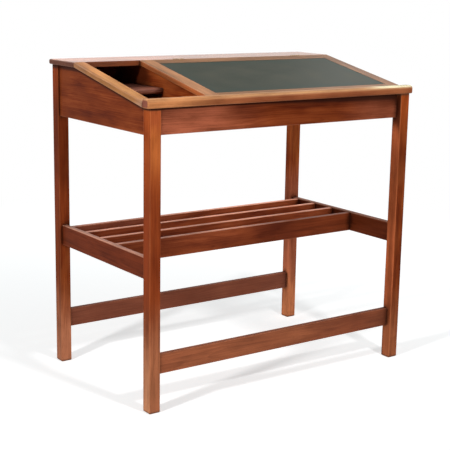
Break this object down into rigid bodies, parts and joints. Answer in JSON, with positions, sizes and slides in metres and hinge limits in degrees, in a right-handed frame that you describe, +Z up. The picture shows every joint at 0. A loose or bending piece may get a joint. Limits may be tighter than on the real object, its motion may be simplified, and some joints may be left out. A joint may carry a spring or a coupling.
{
  "type": "architects standing desk",
  "caption": "Tall wooden drawing desk with a sloping hinged lid and green inlay, a flat ledge, an open side compartment, a slatted shelf and floor stretchers on square legs.",
  "frame": {"origin": "on the floor, in the middle of the four legs", "axes": "+X to the right along the desk, +Y from the user's side to the back, +Z up"},
  "size_m": [1.122, 0.67, 1.1112],
  "materials": {
    "leg_teak": "oiled teak, orange-brown, satin, straight grain along the leg",
    "dark_teak": "oiled teak, red-brown, satin, straight grain along the board",
    "worn_teak": "worn and faded teak, tan, satin, with darker edges",
    "ledge_teak": "polished teak, red-brown, with a soft sheen",
    "inner_wood": "plain unfinished wood",
    "writing_inlay": "grey-green writing surface, matt, with faint marks of use",
    "hinge_brass": "aged brass, dull"
  },
  "bodies": {
    "desk": {"back_apron": "dark_teak", "back_ledge": "ledge_teak", "back_stretcher": "dark_teak", "bottom_batten_back": "inner_wood", "bottom_batten_front": "inner_wood", "case_bottom": "inner_wood", "compartment_divider": "dark_teak", "front_apron": "dark_teak", "front_rail": "worn_teak", "front_stretcher": "dark_teak", "hinge_1_ledge_leaf": "hinge_brass", "hinge_1_ledge_screw_1": "hinge_brass", "hinge_1_ledge_screw_2": "hinge_brass", "hinge_1_pin": "hinge_brass", "hinge_2_ledge_leaf": "hinge_brass", "hinge_2_ledge_screw_1": "hinge_brass", "hinge_2_ledge_screw_2": "hinge_brass", "hinge_2_pin": "hinge_brass", "left_side_panel": "dark_teak", "left_slope_rail": "worn_teak", "leg_back_left": "leg_teak", "leg_back_right": "leg_teak", "leg_dowel_back_left": "inner_wood", "leg_dowel_back_right": "inner_wood", "leg_dowel_front_left": "inner_wood", "leg_dowel_front_right": "inner_wood", "leg_front_left": "leg_teak", "leg_front_right": "leg_teak", "pen_shelf": "dark_teak", "pen_shelf_batten_left": "inner_wood", "pen_shelf_batten_right": "inner_wood", "right_side_panel": "dark_teak", "shelf_rail_left": "dark_teak", "shelf_rail_right": "dark_teak", "shelf_slat_1": "dark_teak", "shelf_slat_2": "dark_teak", "shelf_slat_3": "dark_teak", "shelf_slat_4": "dark_teak", "slope_rail_dowel_back_1": "inner_wood", "slope_rail_dowel_back_2": "inner_wood", "slope_rail_dowel_front_1": "inner_wood", "slope_rail_dowel_front_2": "inner_wood"},
    "lid": {"hinge_1_lid_leaf": "hinge_brass", "hinge_1_lid_screw_1": "hinge_brass", "hinge_1_lid_screw_2": "hinge_brass", "hinge_2_lid_leaf": "hinge_brass", "hinge_2_lid_screw_1": "hinge_brass", "hinge_2_lid_screw_2": "hinge_brass", "lid_back_rail": "worn_teak", "lid_core_panel": "inner_wood", "lid_front_rail": "worn_teak", "lid_inlay": "writing_inlay", "lid_left_stile": "worn_teak", "lid_right_stile": "worn_teak"}
  },
  "joints": [
    {"name": "lid_hinge", "type": "hinge", "parent": "desk", "child": "lid", "pos_m": [0.1295, 0.148, 1.109], "axis": [-1, 0, 0], "range_deg": [0, 110]}
  ]
}
